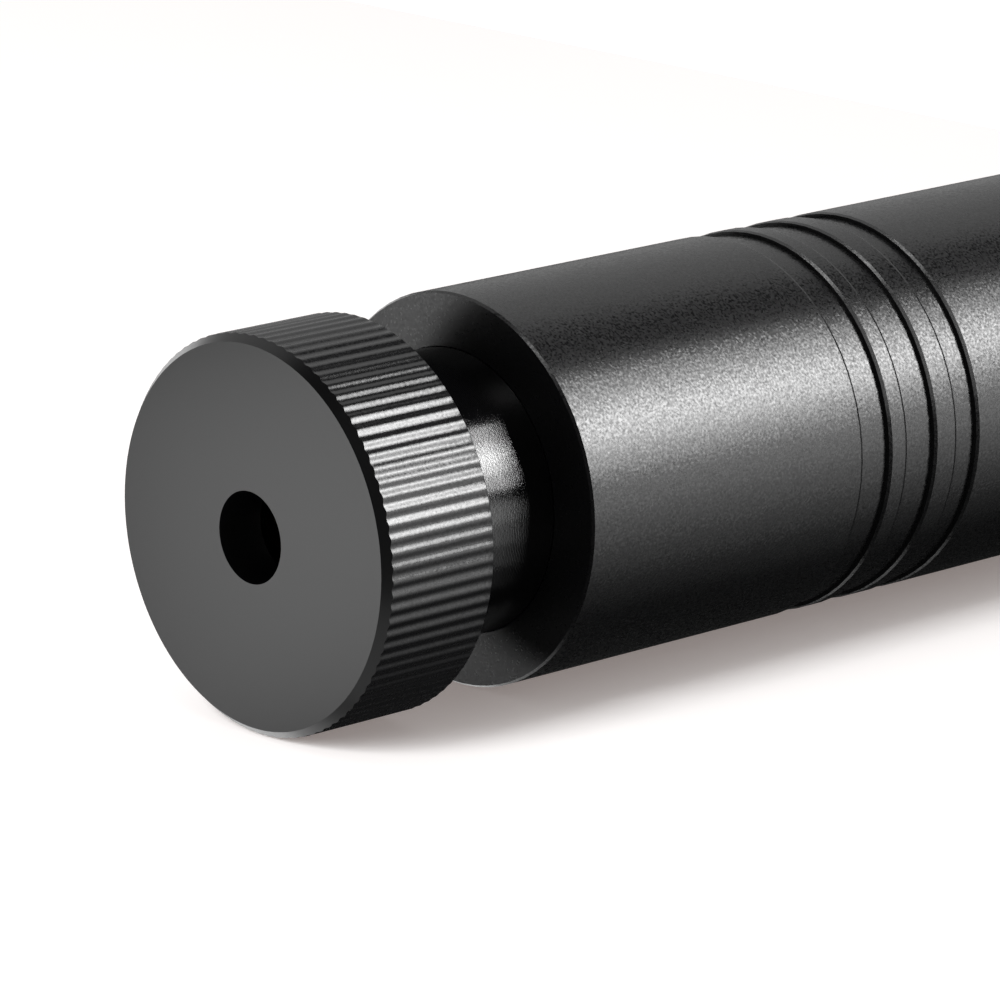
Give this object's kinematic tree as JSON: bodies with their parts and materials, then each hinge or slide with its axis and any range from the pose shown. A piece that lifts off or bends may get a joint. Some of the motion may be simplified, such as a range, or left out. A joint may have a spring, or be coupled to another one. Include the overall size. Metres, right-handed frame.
{
  "type": "laser pointer",
  "caption": "Stout black hand-held laser pointer: a grooved aluminium tube with a knurled focusing cap on a narrow neck, a side push button and a screwed tail cap.",
  "frame": {"origin": "centre of the tail's flat end face, which it stands on", "axes": "+Z along the beam, from the tail to the front of the focusing cap; the push button faces -Y"},
  "size_m": [0.023, 0.023, 0.157],
  "materials": {
    "satin_black_cap": "satin",
    "blasted_black_tube": "satin",
    "turned_black_neck": "gloss",
    "brass": "satin",
    "lens_glass": "gloss",
    "filter_glass": "gloss",
    "crystal": "polished",
    "black_rubber": "matte",
    "gold_plated_steel": "polished",
    "board_green": "satin",
    "component_black": "matte",
    "capacitor_can": "satin",
    "trimmer_white": "satin",
    "button_black": "satin",
    "bezel_steel": "satin",
    "laminate": "satin",
    "battery_sleeve": "gloss",
    "spring_steel": "polished"
  },
  "bodies": {
    "tail": {"tail_cap": "blasted_black_tube", "tail_o_ring": "black_rubber", "tail_contact_plate": "brass", "plate_ring": "brass", "tail_spring": "spring_steel", "battery_cell": "battery_sleeve"},
    "barrel": {"body_tube": "blasted_black_tube", "module_lock_ring": "turned_black_neck", "module_housing": "brass", "pump_diode": "gold_plated_steel", "diode_ring": "brass", "crystal_holder": "brass", "laser_crystal": "crystal", "expander_lens": "lens_glass", "infrared_filter": "filter_glass", "filter_ring": "brass", "driver_board": "board_green", "drive_transistor": "component_black", "board_capacitor": "capacitor_can", "current_trimmer": "trimmer_white", "tactile_switch": "component_black", "button_bezel": "bezel_steel", "insulating_disc": "laminate", "front_contact": "brass"},
    "lens": {"collimating_lens": "lens_glass"},
    "focus_head": {"focus_cap": "satin_black_cap", "lens_cell": "turned_black_neck", "lens_retainer": "brass", "focus_o_ring": "black_rubber"},
    "button": {"button_cap": "button_black", "switch_plunger": "trimmer_white"}
  },
  "joints": [
    {"name": "tail_unscrew", "type": "slide", "parent": "tail", "child": "barrel", "axis": [0, 0, 1], "range_m": [0, 0.066]},
    {"name": "focus_travel", "type": "slide", "parent": "barrel", "child": "lens", "axis": [0, 0, 1], "range_m": [-0.007, 0.001]},
    {"name": "focus_turn", "type": "hinge", "parent": "lens", "child": "focus_head", "pos_m": [0, 0, 0.149], "axis": [0, 0, 1], "range_deg": [-2521, 361]},
    {"name": "button_press", "type": "slide", "parent": "barrel", "child": "button", "axis": [0, 1, 0], "range_m": [0, 0.0006], "stiffness_N_per_m": 800}
  ],
  "couplings": [
    {"joint": "focus_turn", "follows": "focus_travel", "rad_per_m": 6283.2}
  ]
}
